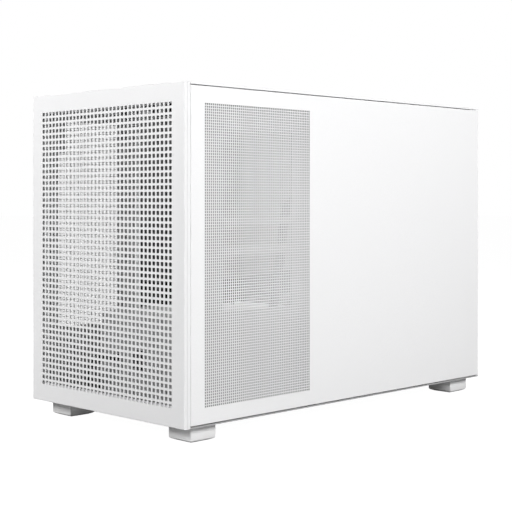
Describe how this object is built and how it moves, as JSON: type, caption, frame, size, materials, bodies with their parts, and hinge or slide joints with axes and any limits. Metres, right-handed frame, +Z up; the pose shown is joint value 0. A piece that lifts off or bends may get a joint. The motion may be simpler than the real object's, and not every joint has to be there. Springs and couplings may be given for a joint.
{
  "type": "desktop computer tower",
  "caption": "Compact white desktop computer tower with a perforated front, a steel side panel with a mesh field, and a glass side.",
  "frame": {"origin": "on the floor, at the middle of the footprint, with the feet standing on Z = 0", "axes": "+Z up, the front looks along -Y, +X is the side of the steel panel and -X the side of the glass"},
  "size_m": [0.23, 0.444, 0.32],
  "materials": {
    "white_steel": "fine white powder coat, satin",
    "white_plastic": "moulded, fine matt texture",
    "clear_glass": "clear tempered glass, polished",
    "filter_mesh": "fine woven dust filter in a thin frame",
    "foot_plastic": "moulded, matt",
    "circuit_board": "black solder mask, semi-matt",
    "dark_plastic": "moulded black, semi-matt",
    "bare_steel": "nickel plated sheet",
    "aluminium": "extruded and milled, satin",
    "cable_jacket": "sleeved, matt"
  },
  "bodies": {
    "chassis": {"top_frame": "white_steel", "bottom_pan": "white_steel", "front_frame": "white_steel", "rear_panel": "white_steel", "motherboard_tray": "white_steel", "left_fan_bracket": "white_steel", "right_service_plate": "white_steel", "power_supply_case": "white_steel", "slot_cover_1": "white_steel", "slot_cover_2": "white_steel", "cooler_fan_frame": "white_plastic", "rear_fan_frame": "white_plastic", "graphics_shroud": "white_plastic", "foot_front_left": "foot_plastic", "foot_front_right": "foot_plastic", "foot_rear_left": "foot_plastic", "foot_rear_right": "foot_plastic", "front_io_board": "circuit_board", "mainboard": "circuit_board", "storage_drive": "circuit_board", "memory_stick_1": "circuit_board", "memory_stick_2": "circuit_board", "graphics_board": "circuit_board", "power_supply_board": "circuit_board", "front_audio_port": "dark_plastic", "rear_audio_ports": "dark_plastic", "rear_inlet": "dark_plastic", "front_usb_port": "bare_steel", "front_usb_c_port": "bare_steel", "processor": "bare_steel", "graphics_bracket": "bare_steel", "io_shield": "bare_steel", "rear_usb_ports": "bare_steel", "rear_network_port": "bare_steel", "rear_video_port": "bare_steel", "cooler_heatsink": "aluminium", "chipset_heatsink": "aluminium", "regulator_heatsink": "aluminium", "graphics_heatsink": "aluminium", "board_power_lead": "cable_jacket", "processor_power_lead": "cable_jacket", "graphics_power_lead": "cable_jacket", "inlet_lead": "cable_jacket"},
    "front_cover": {"front_cover": "white_steel", "front_cover_frame": "white_plastic"},
    "right_side_panel": {"right_side_panel": "white_steel"},
    "left_mesh_cover": {"left_mesh_cover": "white_steel"},
    "left_glass": {"left_glass": "clear_glass"},
    "top_filter": {"top_filter": "filter_mesh"},
    "power_button": {"power_button": "white_plastic"},
    "reset_button": {"reset_button": "white_plastic"},
    "rear_fan_rotor": {"rear_fan_rotor": "white_plastic"},
    "cooler_fan_rotor": {"cooler_fan_rotor": "white_plastic"},
    "graphics_fan_1": {"graphics_fan_1": "white_plastic"},
    "graphics_fan_2": {"graphics_fan_2": "white_plastic"},
    "power_supply_fan": {"power_supply_fan": "dark_plastic"},
    "power_switch_rocker": {"power_switch_rocker": "dark_plastic"},
    "memory_latch_1": {"memory_latch_1": "dark_plastic"},
    "memory_latch_2": {"memory_latch_2": "dark_plastic"}
  },
  "joints": [
    {"name": "front_cover_pull", "type": "slide", "parent": "chassis", "child": "front_cover", "axis": [0, -1, 0], "range_m": [0, 0.06]},
    {"name": "right_panel_pull", "type": "slide", "parent": "chassis", "child": "right_side_panel", "axis": [1, 0, 0], "range_m": [0, 0.06]},
    {"name": "left_cover_pull", "type": "slide", "parent": "chassis", "child": "left_mesh_cover", "axis": [-1, 0, 0], "range_m": [0, 0.06]},
    {"name": "left_glass_pull", "type": "slide", "parent": "chassis", "child": "left_glass", "axis": [-1, 0, 0], "range_m": [0, 0.06]},
    {"name": "top_filter_lift", "type": "slide", "parent": "chassis", "child": "top_filter", "axis": [0, 0, 1], "range_m": [0, 0.04]},
    {"name": "power_button_press", "type": "slide", "parent": "chassis", "child": "power_button", "axis": [0, 0, -1], "range_m": [0, 0.0015], "stiffness_N_per_m": 300, "springref_m": -0.001},
    {"name": "reset_button_press", "type": "slide", "parent": "chassis", "child": "reset_button", "axis": [0, 0, -1], "range_m": [0, 0.0012], "stiffness_N_per_m": 300, "springref_m": -0.001},
    {"name": "rear_fan_spin", "type": "hinge", "parent": "chassis", "child": "rear_fan_rotor", "pos_m": [-0.028, 0.2037, 0.222], "axis": [0, 1, 0], "continuous": true},
    {"name": "cooler_fan_spin", "type": "hinge", "parent": "chassis", "child": "cooler_fan_rotor", "pos_m": [0.0276, 0.112, 0.208], "axis": [1, 0, 0], "continuous": true},
    {"name": "graphics_fan_1_spin", "type": "hinge", "parent": "chassis", "child": "graphics_fan_1", "pos_m": [0.012, 0.036, 0.075], "axis": [0, 0, 1], "continuous": true},
    {"name": "graphics_fan_2_spin", "type": "hinge", "parent": "chassis", "child": "graphics_fan_2", "pos_m": [0.012, 0.13, 0.075], "axis": [0, 0, 1], "continuous": true},
    {"name": "power_supply_fan_spin", "type": "hinge", "parent": "chassis", "child": "power_supply_fan", "pos_m": [0.0075, -0.101, 0.028], "axis": [0, 0, 1], "continuous": true},
    {"name": "power_switch_tip", "type": "hinge", "parent": "chassis", "child": "power_switch_rocker", "pos_m": [-0.008, -0.171, 0.06], "axis": [1, 0, 0], "range_deg": [0, 16]},
    {"name": "memory_latch_1_tip", "type": "hinge", "parent": "chassis", "child": "memory_latch_1", "pos_m": [0.0742, 0.02, 0.2734], "axis": [0, 1, 0], "range_deg": [0, 30]},
    {"name": "memory_latch_2_tip", "type": "hinge", "parent": "chassis", "child": "memory_latch_2", "pos_m": [0.0742, 0.0295, 0.2734], "axis": [0, 1, 0], "range_deg": [0, 30]}
  ]
}
